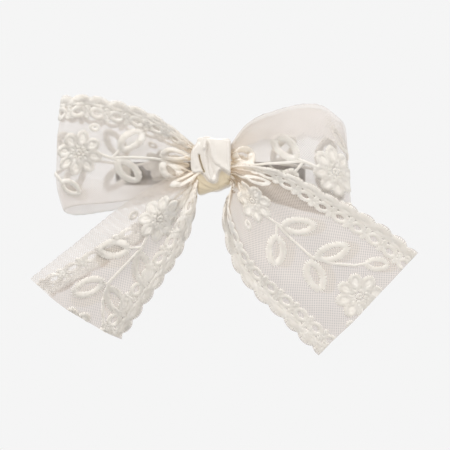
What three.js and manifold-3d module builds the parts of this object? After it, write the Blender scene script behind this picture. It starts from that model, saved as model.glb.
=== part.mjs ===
// Hair bow on a French barrette: two lace loops, two lace tails and a satin knot,
// glued to a sprung steel clip with a pinch catch.
// Millimetres. +Z is up as worn, -Y faces the viewer and +Y faces the head.
// The origin is the middle of the grip, where the clip holds the lock of hair.
import * as THREE from "three";
import { mergeVertices } from "three/addons/utils/BufferGeometryUtils.js";
import Module from "manifold-3d";

const wasm = await Module();
wasm.setup();

// ---- driving dimensions -------------------------------------------------
const GAP = 0.35; // left between pieces that touch or turn in each other

const clip = {
  length: 80,
  height: 10,
  thickness: 0.8,
  rise: 5, // how far the middle of the plate bows away from the head
  flatEnd: 9, // straight length at each end, for the hinge and the catch
  cornerRadius: 2.5,
  depth: 7.6, // from the grip's middle to the back of the plate's crown
  sewingHoleRadius: 1,
  sewingHoleFromEnd: 13,
};
const pin = { radius: 0.65, headRadius: 1.2, headThickness: 0.5, fromEnd: 2.7 };
const ear = { thickness: 0.8, radius: 2.1, spread: 3.15 }; // spread: middle plane to inner face
const arm = {
  width: 5,
  thickness: 0.9,
  outer: 1.9, // from the grip's middle to the face next to the head
  knuckleRadius: 1.7,
  padInset: 15, // from the end of the plate to the end of the raised pad
  padRaise: 0.25,
  tipRim: 1.65, // beside the window for the catch
  tipLength: 7.6,
  tipOverhang: 1.2, // how far the tip passes the end of the plate
};
const leaf = {
  width: 4,
  neckWidth: 1.9,
  thickness: 0.4,
  endInset: 15.3, // from the end of the plate to the leaf's free end
  bow: 1.5,
  eyeRadius: 1.45,
};
const catchBase = { behindRivet: 2.2, besideRivet: 0.35, thickness: 0.6 };
const prong = {
  width: 2.4,
  thickness: 0.5,
  barb: 0.65, // how far the barb stands out from the stem
  barbLength: 0.8,
  tip: 0.6, // above the barb
  barbShy: 0.1, // between the barb and the window's rim
};
const rivet = { radius: 0.75, headRadius: 1.4, headThickness: 0.4 };

const bowLift = 1.2; // how far the ribbons and knot sit above the clip's middle line
const lace = { thickness: 0.8, tuck: 2.2, tailTuck: 0.7 }; // tuck: length hidden inside the knot
const loopShape = { depth: 8, rootDepth: 2.25, lean: 1.5, edgeShare: 0.75 };
const tailShape = {
  rootHeight: 6.5,
  inFront: 2.75, // of the loops, where both leave the knot
  fallBack: 4.5,
  crown: 1.2,
};
const knot = {
  width: 13.4,
  height: 22.6,
  middleX: 2.1,
  middleZ: 1.7 + bowLift,
  wall: 1.2,
  cornerRadius: 4.1,
  frontRoom: 1.7, // between the tails and the front wall
  backRoom: 0.8, // between the plate's crown and the back wall
  endRoom: 3.3, // above and below the loops, inside the band
};
const gather = { end: 0.6, endRoom: 2.7, waist: 0.78 };
const thread = { radius: 0.35, turns: 3, pitch: 0.8 };
const glue = { fromKnot: 1.7, length: 13.5, height: 6, thinnest: 0.8 };

// ---- places worked out from the dimensions ------------------------------
const plateBack = -clip.depth; // at the crown; the flat ends stand nearer the head by the rise
const plateFront = plateBack - clip.thickness;
const endBack = plateBack + clip.rise;
const halfClip = clip.length / 2;
const archHalf = halfClip - clip.flatEnd;
const archRadius = (archHalf ** 2 + clip.rise ** 2) / (2 * clip.rise);
const pinX = -halfClip + pin.fromEnd;
const pinY = arm.outer - arm.knuckleRadius;
const armInner = arm.outer - arm.thickness;
const bore = pin.radius + GAP;
const tipEnd = halfClip + arm.tipOverhang;
const catchX = tipEnd - arm.tipLength / 2; // middle of the prongs and of the arm's window
const baseY = endBack + GAP;
const baseHalfZ = rivet.radius + GAP + catchBase.besideRivet;
const prongZ = baseHalfZ + GAP; // inner face of each prong
const windowHalfZ = prongZ + prong.thickness + prong.barb + prong.barbShy;
const windowHalfX = prong.width / 2 + 0.5;
const tipHalfZ = windowHalfZ + arm.tipRim;
const rivetX = catchX - prong.width / 2 - rivet.headRadius - 0.2;

const knotLeft = knot.middleX - knot.width / 2;
const knotRight = knot.middleX + knot.width / 2;
const knotBack = plateBack + knot.backRoom + knot.wall;
const glueFrom = knotRight + glue.fromKnot;
const glueTo = glueFrom + glue.length;

// ---- materials ----------------------------------------------------------
const look = (color, roughness, metalness = 0) =>
  new THREE.MeshStandardMaterial({ color, roughness, metalness });
const laceLook = look(0xf0ebe2, 0.85);
const satinLook = look(0xf1ead9, 0.35);
const threadLook = look(0xf3eee2, 0.8);
const steelLook = look(0x57504a, 0.35, 1);
const springLook = look(0x6b6661, 0.3, 1);
const glueLook = look(0xe9e2cf, 0.4);

const bow = new THREE.Group();
const place = (name, geometry, material) => {
  const mesh = new THREE.Mesh(geometry, material);
  mesh.name = name;
  bow.add(mesh);
};

// ---- solid helpers ------------------------------------------------------
// A closed geometry as a manifold solid, for joins and cuts.
function solidOf(geometry) {
  const bare = geometry.index ? geometry.toNonIndexed() : geometry.clone();
  bare.deleteAttribute("normal");
  bare.deleteAttribute("uv");
  const merged = mergeVertices(bare, 1e-4);
  return new wasm.Manifold(
    new wasm.Mesh({
      numProp: 3,
      vertProperties: merged.attributes.position.array,
      triVerts: new Uint32Array(merged.index.array),
    }),
  );
}

// A manifold solid back as a geometry.
function geometryOf(solid) {
  const mesh = solid.getMesh();
  return new THREE.BufferGeometry()
    .setAttribute("position", new THREE.BufferAttribute(mesh.vertProperties, 3))
    .setIndex(new THREE.BufferAttribute(mesh.triVerts, 1));
}

const join = (...geometries) => geometries.map(solidOf).reduce((sum, part) => sum.add(part));
const cut = (solid, ...geometries) =>
  geometries.map(solidOf).reduce((rest, tool) => rest.subtract(tool), solid);

// A shape drawn in X and Y, as thick as height along Z about middleZ.
function slab(shape, height, middleZ = 0, curveSegments = 12) {
  return new THREE.ExtrudeGeometry(shape, { depth: height, bevelEnabled: false, curveSegments })
    .translate(0, 0, middleZ - height / 2);
}

function rectangle(x0, y0, x1, y1) {
  return new THREE.Shape([
    new THREE.Vector2(x0, y0),
    new THREE.Vector2(x1, y0),
    new THREE.Vector2(x1, y1),
    new THREE.Vector2(x0, y1),
  ]);
}

function roundedRectangle(halfWidth, halfHeight, radius) {
  const shape = new THREE.Shape();
  const corner = (sx, sy, turn) =>
    shape.absarc(
      sx * (halfWidth - radius),
      sy * (halfHeight - radius),
      radius,
      (turn * Math.PI) / 2,
      ((turn + 1) * Math.PI) / 2,
      false,
    );
  corner(1, 1, 0);
  corner(-1, 1, 1);
  corner(-1, -1, 2);
  corner(1, -1, 3);
  return shape;
}

// A box by its lowest and highest corners.
function block(x0, y0, z0, x1, y1, z1) {
  return new THREE.BoxGeometry(x1 - x0, y1 - y0, z1 - z0).translate(
    (x0 + x1) / 2,
    (y0 + y1) / 2,
    (z0 + z1) / 2,
  );
}

// A round bar along Z.
function barZ(x, y, radius, z0, z1, sides = 24) {
  return new THREE.CylinderGeometry(radius, radius, z1 - z0, sides)
    .rotateX(Math.PI / 2)
    .translate(x, y, (z0 + z1) / 2);
}

// A round bar along Y.
function barY(x, z, radius, y0, y1, sides = 20) {
  return new THREE.CylinderGeometry(radius, radius, y1 - y0, sides).translate(x, (y0 + y1) / 2, z);
}

// A shape whose own X and Y stand for the bow's Y and Z, moved along the bow's X.
const acrossX = new THREE.Matrix4().makeBasis(
  new THREE.Vector3(0, 1, 0),
  new THREE.Vector3(0, 0, 1),
  new THREE.Vector3(1, 0, 0),
);

// A sheet of cloth: surface(u, v) is its middle, and it becomes one closed skin.
function thickSheet(surface, uSteps, vSteps, thickness) {
  const at = (u, v) => new THREE.Vector3(...surface(u, v));
  const step = 1e-4;
  const normalAt = (u, v) => {
    const alongU = at(Math.min(u + step, 1), v).sub(at(Math.max(u - step, 0), v));
    const alongV = at(u, Math.min(v + step, 1)).sub(at(u, Math.max(v - step, 0)));
    return alongU.cross(alongV).normalize();
  };
  const positions = [];
  const rowLength = vSteps + 1;
  for (const side of [0.5, -0.5]) {
    for (let i = 0; i <= uSteps; i++) {
      for (let j = 0; j <= vSteps; j++) {
        const [u, v] = [i / uSteps, j / vSteps];
        positions.push(...at(u, v).addScaledVector(normalAt(u, v), side * thickness));
      }
    }
  }
  const other = (uSteps + 1) * rowLength;
  const index = [];
  const quad = (a, b, c, d) => index.push(a, b, c, a, c, d);
  for (let i = 0; i < uSteps; i++) {
    for (let j = 0; j < vSteps; j++) {
      const a = i * rowLength + j;
      quad(a, a + rowLength, a + rowLength + 1, a + 1);
      quad(other + a, other + a + 1, other + a + rowLength + 1, other + a + rowLength);
    }
  }
  const rim = (a, b) => quad(b, a, other + a, other + b);
  for (let i = 0; i < uSteps; i++) {
    rim(i * rowLength, (i + 1) * rowLength);
    rim((i + 1) * rowLength + vSteps, i * rowLength + vSteps);
  }
  for (let j = 0; j < vSteps; j++) {
    rim(j + 1, j);
    rim(uSteps * rowLength + j, uSteps * rowLength + j + 1);
  }
  return new THREE.BufferGeometry()
    .setAttribute("position", new THREE.Float32BufferAttribute(positions, 3))
    .setIndex(index);
}

// ---- the clip -----------------------------------------------------------
// How far the plate's face stands from its crown's depth, at x along the clip.
function archDrop(x) {
  const across = Math.min(Math.abs(x), archHalf);
  return archRadius - Math.sqrt(archRadius ** 2 - across ** 2);
}

// The plate's outline seen from above: flat ends and a bowed middle, one thickness apart.
function plateProfile() {
  const steps = 16;
  const front = [[-halfClip, clip.rise]];
  for (let i = 0; i <= steps; i++) {
    const x = -archHalf + (2 * archHalf * i) / steps;
    front.push([x, archDrop(x)]);
  }
  front.push([halfClip, clip.rise]);
  const points = front.map(([x, drop]) => new THREE.Vector2(x, plateFront + drop));
  const back = front.map(([x, drop]) => new THREE.Vector2(x, plateBack + drop)).reverse();
  return new THREE.Shape([...points, ...back]);
}

// The two ears that stand from the plate towards the head and carry the hinge pin.
function earShape() {
  const shape = new THREE.Shape();
  shape.moveTo(pinX - ear.radius, endBack - clip.thickness / 2);
  shape.lineTo(pinX + ear.radius, endBack - clip.thickness / 2);
  shape.lineTo(pinX + ear.radius, pinY);
  shape.absarc(pinX, pinY, ear.radius, 0, Math.PI, false);
  return shape;
}

function clipPlate() {
  const outline = slab(
    roundedRectangle(halfClip, clip.height / 2, clip.cornerRadius),
    clip.depth * 4,
    0,
    6,
  ).rotateX(Math.PI / 2);
  const bent = solidOf(slab(plateProfile(), clip.height)).intersect(solidOf(outline));
  const earMiddle = ear.spread + ear.thickness / 2;
  const ears = [1, -1].map((side) => solidOf(slab(earShape(), ear.thickness, side * earMiddle)));
  const sewingX = halfClip - clip.sewingHoleFromEnd;
  const through = [2 * plateFront, -plateFront];
  return geometryOf(
    cut(
      bent.add(ears[0]).add(ears[1]),
      barZ(pinX, pinY, bore, -clip.height, clip.height),
      barY(sewingX, 0, clip.sewingHoleRadius, ...through),
      barY(-sewingX, 0, clip.sewingHoleRadius, ...through),
      barY(rivetX, 0, rivet.radius + GAP, ...through),
    ),
  );
}

// The pin runs through both ears and is headed over at each end.
function hingePin() {
  const headIn = ear.spread + ear.thickness + GAP;
  const headOut = headIn + pin.headThickness;
  const profile = [
    [0, -headOut],
    [pin.headRadius, -headOut],
    [pin.headRadius, -headIn],
    [pin.radius, -headIn],
    [pin.radius, headIn],
    [pin.headRadius, headIn],
    [pin.headRadius, headOut],
    [0, headOut],
  ].map(([r, z]) => new THREE.Vector2(r, z));
  return new THREE.LatheGeometry(profile, 20).rotateX(Math.PI / 2).translate(pinX, pinY, 0);
}

// The arm swings on two knuckles and closes over the prongs with the window in its tip.
function claspArm() {
  const knuckleZ = ear.spread - GAP;
  const eyeSlotZ = leaf.neckWidth / 2 + GAP;
  const body = join(
    barZ(pinX, pinY, arm.knuckleRadius, -knuckleZ, knuckleZ),
    block(pinX, armInner, -arm.width / 2, tipEnd - 1, arm.outer, arm.width / 2),
    slab(roundedRectangle(arm.tipLength / 2, tipHalfZ, arm.tipRim), arm.thickness, 0, 6)
      .rotateX(Math.PI / 2)
      .translate(catchX, (armInner + arm.outer) / 2, 0),
    block(
      arm.padInset - halfClip,
      arm.outer - arm.thickness / 2,
      -arm.width / 2,
      halfClip - arm.padInset,
      arm.outer + arm.padRaise,
      arm.width / 2,
    ),
  );
  const eyeSlot = block(
    pinX - 2 * arm.knuckleRadius,
    pinY - 2 * arm.knuckleRadius,
    -eyeSlotZ,
    pinX + leaf.eyeRadius + GAP,
    arm.outer + 1,
    eyeSlotZ,
  );
  const catchWindow = block(
    catchX - windowHalfX,
    armInner - 1,
    -windowHalfZ,
    catchX + windowHalfX,
    arm.outer + 1,
    windowHalfZ,
  );
  const pinHole = barZ(pinX, pinY, bore, -knuckleZ - 1, knuckleZ + 1);
  return geometryOf(cut(body, pinHole, eyeSlot, catchWindow));
}

// The leaf spring hooks on the same pin, and its crown presses the hair against the arm.
function tensionLeaf() {
  const steps = 14;
  const crownY = armInner - GAP - leaf.thickness / 2;
  const startX = pinX;
  const endX = halfClip - leaf.endInset;
  const middleX = (startX + endX) / 2;
  const halfSpan = (endX - startX) / 2;
  const line = (offset) =>
    Array.from({ length: steps + 1 }, (_, i) => {
      const x = startX + ((endX - startX) * i) / steps;
      return new THREE.Vector2(x, crownY - leaf.bow * ((x - middleX) / halfSpan) ** 2 + offset);
    });
  const half = leaf.thickness / 2;
  const strip = solidOf(
    slab(new THREE.Shape([...line(-half), ...line(half).reverse()]), leaf.width),
  );
  const neckEnd = pinX + arm.knuckleRadius + 1;
  const sideCut = (side) =>
    block(
      pinX - 5,
      -8,
      side > 0 ? leaf.neckWidth / 2 : -clip.height,
      neckEnd,
      8,
      side > 0 ? clip.height : -leaf.neckWidth / 2,
    );
  const eye = barZ(pinX, pinY, leaf.eyeRadius, -leaf.neckWidth / 2, leaf.neckWidth / 2);
  return geometryOf(
    cut(
      cut(strip, sideCut(1), sideCut(-1)).add(solidOf(eye)),
      barZ(pinX, pinY, bore, -clip.height, clip.height),
    ),
  );
}

// The catch: a base riveted to the plate, and two sprung prongs that stand beside it.
function catchPlate() {
  const seat = block(
    rivetX - catchBase.behindRivet,
    baseY,
    -baseHalfZ,
    catchX + prong.width / 2,
    baseY + catchBase.thickness,
    baseHalfZ,
  );
  return geometryOf(cut(solidOf(seat), barY(rivetX, 0, rivet.radius + GAP, baseY - 1, baseY + 2)));
}

// One prong, drawn in Y and Z: a foot, a stem, and a barb over the window's edge.
function catchProng(side) {
  const inner = prongZ;
  const outer = prongZ + prong.thickness;
  const barbY = arm.outer + GAP;
  const topY = barbY + prong.barbLength + prong.tip;
  const outline = [
    [baseY, inner],
    [baseY, outer],
    [barbY, outer],
    [barbY, outer + prong.barb],
    [barbY + prong.barbLength, outer + 0.1],
    [topY, outer + 0.1],
    [topY, inner],
  ].map(([y, z]) => new THREE.Vector2(y, side * z));
  if (side < 0) outline.reverse();
  return new THREE.ExtrudeGeometry(new THREE.Shape(outline), {
    depth: prong.width,
    bevelEnabled: false,
  })
    .applyMatrix4(acrossX)
    .translate(catchX - prong.width / 2, 0, 0);
}

// The rivet ties the catch's base to the plate.
function catchRivet() {
  const front = plateFront + clip.rise - GAP;
  const back = baseY + catchBase.thickness + GAP;
  const profile = [
    [0, front - rivet.headThickness],
    [rivet.headRadius, front - rivet.headThickness],
    [rivet.headRadius, front],
    [rivet.radius, front],
    [rivet.radius, back],
    [rivet.headRadius - 0.2, back],
    [rivet.headRadius - 0.2, back + rivet.headThickness],
    [0, back + rivet.headThickness],
  ].map(([r, y]) => new THREE.Vector2(r, y));
  return new THREE.LatheGeometry(profile, 20).translate(rivetX, 0, 0);
}

// ---- the lace -----------------------------------------------------------
// Each ribbon lies between two edges, drawn in X and Z from the knot outwards.
const edge = (...points) =>
  new THREE.SplineCurve(points.map(([x, z]) => new THREE.Vector2(x, z + bowLift)));
const leftStart = knotLeft + lace.tuck;
const rightStart = knotRight - lace.tuck;
const leftTailStart = knotLeft + lace.tailTuck;
const rightTailStart = knotRight - lace.tailTuck;
const rootHalf = knot.height / 2 - knot.wall - knot.endRoom;
const rootLow = knot.middleZ - bowLift - rootHalf;
const rootHigh = rootLow + 2 * rootHalf;
const tailRootHigh = rootLow + tailShape.rootHeight;

const leftLoop = {
  side: -1,
  bulge: 3.4,
  low: edge(
    [leftStart, rootLow],
    [knotLeft - 1, rootLow - 1],
    [-16, -10],
    [-37.4, -15.1],
    [-52, -17],
    [-61.3, -18],
  ),
  high: edge(
    [leftStart, rootHigh],
    [knotLeft - 1, rootHigh + 1.5],
    [-12.2, 16],
    [-24.8, 24.4],
    [-41.6, 29.8],
    [-61.7, 31.5],
  ),
};
const rightLoop = {
  side: 1,
  bulge: 4.4,
  low: edge(
    [rightStart, rootLow],
    [knotRight + 1, rootLow - 1],
    [20, -11],
    [38, -17],
    [49, -20],
    [57, -21],
  ),
  high: edge(
    [rightStart, rootHigh],
    [knotRight + 1, rootHigh + 2.5],
    [16.8, 20.5],
    [28.6, 25.2],
    [42, 28.2],
    [52, 25.5],
  ),
};
const leftTail = {
  low: edge(
    [leftTailStart, rootLow],
    [knotLeft - 1.3, -8.4],
    [-5.4, -14],
    [-8, -27.3],
    [-17.6, -46.2],
    [-37, -70.6],
  ),
  high: edge([leftTailStart, tailRootHigh], [-20, -5], [-37.4, -15.5], [-56, -31], [-75.2, -46.2]),
};
const rightTail = {
  low: edge(
    [rightTailStart, rootLow],
    [knotRight + 1.4, -8.2],
    [8.6, -13],
    [5.4, -20],
    [7.9, -35.7],
    [20.5, -54],
    [45.5, -78],
  ),
  high: edge(
    [rightTailStart, tailRootHigh],
    [17, 3],
    [26.5, 0.8],
    [39, -3.4],
    [58.8, -15.5],
    [73.3, -23],
    [88, -35],
  ),
};

const between = (low, high, share) => low + (high - low) * share;

// Half the depth of a loop's hollow, at a share out from the knot and a share up its edge.
function halfDepth(out, up) {
  const towardsEdges = 1 - (1 - loopShape.edgeShare) * (2 * up - 1) ** 2;
  return (
    loopShape.rootDepth * (1 - out) ** 2 +
    2 * loopShape.depth * out * Math.sqrt(Math.max(1 - out, 0)) * towardsEdges
  );
}

// A point of a loop, which runs out in front, turns at its far end and comes back behind.
// Its depth is counted from the loops' middle at the knot.
function loopPoint(loop, along, up) {
  const out = (1 - Math.cos(2 * Math.PI * along)) / 2;
  const low = loop.low.getPointAt(out);
  const high = loop.high.getPointAt(out);
  const bulge = loop.side * loop.bulge * Math.sqrt(4 * up * (1 - up)) * out ** 3;
  const front = along < 0.5 ? -1 : 1;
  return [
    between(low.x, high.x, up) + bulge,
    loopShape.lean * out + front * halfDepth(out, up),
    between(low.y, high.y, up),
  ];
}

// How far back a loop's rear layer comes behind the clip, at x out from the middle.
function loopBack(loop, x) {
  const depthAt = (up) => {
    let [outer, inner] = [0.5, 1];
    for (let i = 0; i < 20; i++) {
      const along = (outer + inner) / 2;
      if (Math.abs(loopPoint(loop, along, up)[0]) > x) outer = along;
      else inner = along;
    }
    return loopPoint(loop, outer, up)[1];
  };
  return Math.max(...[0.2, 0.35, 0.5, 0.65].map(depthAt)) + lace.thickness / 2;
}

// The loops stand off the plate by the thinnest glue, wherever they come closest to it.
const behindLoops = Array.from({ length: 13 }, (_, i) => glueFrom + (i / 12) * (halfClip - glueFrom));
const glueSide = 1.3 * GAP;
const loopMiddle = Math.min(
  ...behindLoops.map((x) => {
    const back = Math.max(loopBack(leftLoop, x), loopBack(rightLoop, x));
    return plateFront + archDrop(x) - GAP - glue.thinnest - glueSide - back;
  }),
);
const tailRoot = loopMiddle - loopShape.rootDepth - tailShape.inFront;
const knotFront = tailRoot - lace.thickness / 2 - knot.frontRoom - knot.wall;
const loopReach = loopPoint(rightLoop, 0.5, 0.4)[0] - rightStart;
const fullest = 2 / 3; // the share of a loop's reach at which it is deepest

function loopSurface(loop) {
  return (along, up) => {
    const [x, y, z] = loopPoint(loop, along, up);
    return [x, loopMiddle + y, z];
  };
}

// A tail leaves the knot in front of the loops, rides over them and falls back at its end.
function tailSurface(tail) {
  return (along, up) => {
    const low = tail.low.getPointAt(along);
    const high = tail.high.getPointAt(along);
    const x = between(low.x, high.x, up);
    const past = Math.max(x - rightStart, leftStart - x, 0) / loopReach;
    const over = halfDepth(Math.min(past, fullest), 0.4) - loopShape.rootDepth;
    const crown = tailShape.crown * Math.sin(Math.PI * up) * along;
    return [
      x,
      tailRoot - over - crown + tailShape.fallBack * along ** 2,
      between(low.y, high.y, up),
    ];
  };
}

// The pinched middle of the ribbons, inside the knot, waisted where the thread pulls it in.
const gatherMiddleY = (tailRoot + loopMiddle + loopShape.rootDepth) / 2;
const gatherHalfDepth = (loopMiddle + loopShape.rootDepth - tailRoot) / 2 + lace.thickness / 2;
const gatherHalfHeight = knot.height / 2 - knot.wall - gather.endRoom;

function gatheredMiddle() {
  const half = knot.width / 2 - lace.tuck - gather.end;
  const profile = [
    [0, -half],
    [1, -half],
    [1, -0.55 * half],
    [gather.waist, -0.4 * half],
    [gather.waist, 0.4 * half],
    [1, 0.55 * half],
    [1, half],
    [0, half],
  ].map(([r, x]) => new THREE.Vector2(r, x));
  return new THREE.LatheGeometry(profile, 20)
    .rotateZ(-Math.PI / 2)
    .scale(1, gatherHalfDepth, gatherHalfHeight)
    .translate(knot.middleX, gatherMiddleY, knot.middleZ);
}

// The thread is wound round the waist and holds the gathers before the knot covers them.
function gatheringThread() {
  const off = thread.radius + GAP;
  const halfY = gatherHalfDepth * gather.waist + off;
  const halfZ = gatherHalfHeight * gather.waist + off;
  const steps = 24 * thread.turns;
  const points = Array.from({ length: steps + 1 }, (_, i) => {
    const turn = (i / steps) * thread.turns;
    const angle = 2 * Math.PI * turn;
    return new THREE.Vector3(
      knot.middleX + (turn - thread.turns / 2) * thread.pitch,
      gatherMiddleY + halfY * Math.cos(angle),
      knot.middleZ + halfZ * Math.sin(angle),
    );
  });
  const section = new THREE.Shape().absarc(0, 0, thread.radius, 0, 2 * Math.PI, false);
  return new THREE.ExtrudeGeometry(section, {
    steps,
    curveSegments: 4,
    bevelEnabled: false,
    extrudePath: new THREE.CatmullRomCurve3(points),
  });
}

// ---- the knot -----------------------------------------------------------
// A satin strip wrapped round the gathers and the plate, so it is a closed band.
function satinKnot() {
  const halfDepthY = (knotBack - knotFront) / 2;
  const belowPlate = (knot.height - clip.height) / 2 - knot.middleZ; // the band's wall and its room
  const radius = Math.min(knot.cornerRadius, belowPlate);
  const outline = roundedRectangle(halfDepthY, knot.height / 2, radius);
  const hollow = roundedRectangle(
    halfDepthY - knot.wall,
    knot.height / 2 - knot.wall,
    radius - knot.wall,
  );
  outline.holes.push(hollow);
  return new THREE.ExtrudeGeometry(outline, {
    depth: knot.width,
    bevelEnabled: false,
    curveSegments: 8,
  })
    .applyMatrix4(acrossX)
    .translate(knotLeft, (knotBack + knotFront) / 2, knot.middleZ);
}

// A pad of glue fills the gap between the plate's face and the back of a loop.
function gluePad(loop) {
  const steps = 8;
  const plateLine = [];
  const laceLine = [];
  for (let i = 0; i <= steps; i++) {
    const x = between(glueFrom, glueTo, i / steps);
    const laceFace = loopMiddle + loopBack(loop, x) + glueSide;
    plateLine.push(new THREE.Vector2(loop.side * x, plateFront + archDrop(x) - GAP));
    laceLine.push(new THREE.Vector2(loop.side * x, laceFace));
  }
  const outline = [...laceLine, ...plateLine.reverse()];
  if (loop.side < 0) outline.reverse();
  return slab(new THREE.Shape(outline), glue.height);
}

place("left_loop", thickSheet(loopSurface(leftLoop), 28, 10, lace.thickness), laceLook);
place("right_loop", thickSheet(loopSurface(rightLoop), 28, 10, lace.thickness), laceLook);
place("left_tail", thickSheet(tailSurface(leftTail), 16, 8, lace.thickness), laceLook);
place("right_tail", thickSheet(tailSurface(rightTail), 16, 8, lace.thickness), laceLook);
place("gathered_middle", gatheredMiddle(), laceLook);
place("gathering_thread", gatheringThread(), threadLook);
place("satin_knot", satinKnot(), satinLook);
place("glue_pad_left", gluePad(leftLoop), glueLook);
place("glue_pad_right", gluePad(rightLoop), glueLook);
place("clip_plate", clipPlate(), steelLook);
place("hinge_pin", hingePin(), steelLook);
place("clasp_arm", claspArm(), steelLook);
place("tension_leaf", tensionLeaf(), springLook);
place("catch_base", catchPlate(), springLook);
place("catch_prong_upper", catchProng(1), springLook);
place("catch_prong_lower", catchProng(-1), springLook);
place("catch_rivet", catchRivet(), steelLook);

export default bow;
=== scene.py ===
import math
import bpy
import numpy as np
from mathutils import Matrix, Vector


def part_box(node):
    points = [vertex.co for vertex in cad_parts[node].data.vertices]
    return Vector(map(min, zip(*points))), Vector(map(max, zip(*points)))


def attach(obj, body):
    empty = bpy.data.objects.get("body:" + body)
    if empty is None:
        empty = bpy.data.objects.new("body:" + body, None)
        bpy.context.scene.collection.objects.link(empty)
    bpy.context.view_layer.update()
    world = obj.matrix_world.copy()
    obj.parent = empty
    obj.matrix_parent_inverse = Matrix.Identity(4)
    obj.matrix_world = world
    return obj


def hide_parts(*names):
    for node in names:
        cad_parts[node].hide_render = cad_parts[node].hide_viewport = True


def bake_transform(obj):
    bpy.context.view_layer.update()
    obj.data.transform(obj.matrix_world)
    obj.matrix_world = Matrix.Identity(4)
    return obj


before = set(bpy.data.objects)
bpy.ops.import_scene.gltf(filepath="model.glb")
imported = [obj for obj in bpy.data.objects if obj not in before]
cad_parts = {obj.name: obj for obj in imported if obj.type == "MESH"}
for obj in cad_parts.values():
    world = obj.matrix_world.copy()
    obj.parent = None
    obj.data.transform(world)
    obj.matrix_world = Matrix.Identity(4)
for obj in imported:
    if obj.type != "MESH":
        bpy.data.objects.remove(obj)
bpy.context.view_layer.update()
scene = bpy.context.scene

# ---- The view and the room --------------------------------------------------------------------
# The bow is seen straight from the front with a long lens, in even studio light that comes mostly
# from above and a little from the left, over a plain pale floor that runs into the backdrop.
knot_low, knot_high = (Vector(corner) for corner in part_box("satin_knot"))
view_width = 0.189
aim = Vector((0.0067, -0.0175, -0.0219))
lens, sensor = 160, 36

camera = bpy.data.objects.new("camera", bpy.data.cameras.new("camera"))
camera.data.lens = lens
camera.data.sensor_width = sensor
camera.data.clip_start = 0.01
camera.location = aim - Vector((0, view_width * lens / sensor, 0))
camera.rotation_euler = (math.pi / 2, 0, 0)
scene.collection.objects.link(camera)
scene.camera = camera
scene.view_settings.view_transform = "Standard"
scene.cycles.transparent_max_bounces = 40

def wire(tree, kind, *inputs, **settings):
    """A node of that kind, with its settings made and its inputs linked or set in order."""
    node = tree.nodes.new(kind)
    for key, value in settings.items():
        setattr(node, key, value)
    for number, value in enumerate(inputs):
        if value is None:
            continue
        if isinstance(value, bpy.types.NodeSocket):
            tree.links.new(value, node.inputs[number])
        else:
            node.inputs[number].default_value = value
    return node


def as_looked_at(tree, output, real, shown):
    """The camera sees shown, and everything else sees real."""
    looked_at = wire(tree, "ShaderNodeLightPath").outputs["Is Camera Ray"]
    mix = wire(tree, "ShaderNodeMixShader", looked_at, real.outputs[0], shown.outputs[0])
    tree.links.new(mix.outputs["Shader"], tree.nodes[output].inputs["Surface"])


backdrop_tone = (0.913, 0.913, 0.913, 1)
fill_tone, fill_strength = (1, 0.985, 0.965, 1), 0.86
world = bpy.data.worlds.new("studio")
world.use_nodes = True
scene.world = world
air = world.node_tree
backdrop = air.nodes["Background"]
backdrop.inputs["Color"].default_value = backdrop_tone
fill = wire(air, "ShaderNodeBackground", fill_tone, fill_strength)
as_looked_at(air, "World Output", fill, backdrop)


def softbox(name, place, size, power, colour=(1, 1, 1)):
    """A square studio light at place, turned towards the bow."""
    light = bpy.data.lights.new(name, "AREA")
    light.size = size
    light.energy = power
    light.color = colour
    lamp = bpy.data.objects.new(name, light)
    lamp.location = place
    lamp.rotation_euler = (aim - Vector(place)).to_track_quat("-Z", "Y").to_euler()
    scene.collection.objects.link(lamp)


softbox("key_light", (-0.35, -0.55, 0.6), 0.3, 3.0)
softbox("side_light", (0.7, -0.5, 0.15), 0.5, 1.1)
softbox("back_light", (0.1, 0.8, 0.5), 0.6, 1.6)

floor_mesh = bpy.data.meshes.new("floor")
floor_reach, floor_drop = 6, -0.9
corners = [(x, y, floor_drop) for x, y in ((-1, -1), (1, -1), (1, 1), (-1, 1))]
floor_mesh.from_pydata([(x * floor_reach, y * floor_reach, z) for x, y, z in corners], [], [(0, 1, 2, 3)])
floor = bpy.data.objects.new("floor", floor_mesh)
paint = bpy.data.materials.new("pale_floor")
paint.use_nodes = True
matt = paint.node_tree.nodes["Principled BSDF"]
matt.inputs["Base Color"].default_value = (0.86, 0.86, 0.86, 1)
matt.inputs["Roughness"].default_value = 0.9
sweep = wire(paint.node_tree, "ShaderNodeEmission", backdrop_tone)
as_looked_at(paint.node_tree, "Material Output", matt, sweep)
floor_mesh.materials.append(paint)
scene.collection.objects.link(floor)

# ---- Left loop ----------------------------------------------------------------------------------
# The bow's left loop, of machine-embroidered lace: fine tulle 61 mm wide with scalloped, corded
# borders, chains of eyelets and a vine of flowers and leaves in thick cream satin stitch. It is
# folded back on itself, tucked in along its lower side, gathered under the knot and glued down.
ribbon_half = 0.0305
scallop_pitch, scallop_depth = 0.0085, 0.0015
vine_repeat = 0.0605
bow_lift = (knot_low.z + knot_high.z) / 2 - 0.0017
knot_mouth = {-1: knot_low.x + 0.0022, 1: knot_high.x - 0.0022}


def run_along(line):
    """The length of a line up to each of its points."""
    return np.append(0, np.cumsum(np.linalg.norm(np.diff(line, axis=0), axis=1)))


def unit(vectors):
    """The vectors with a length of 1."""
    return vectors / np.maximum(np.linalg.norm(vectors, axis=-1, keepdims=True), 1e-12)


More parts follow.
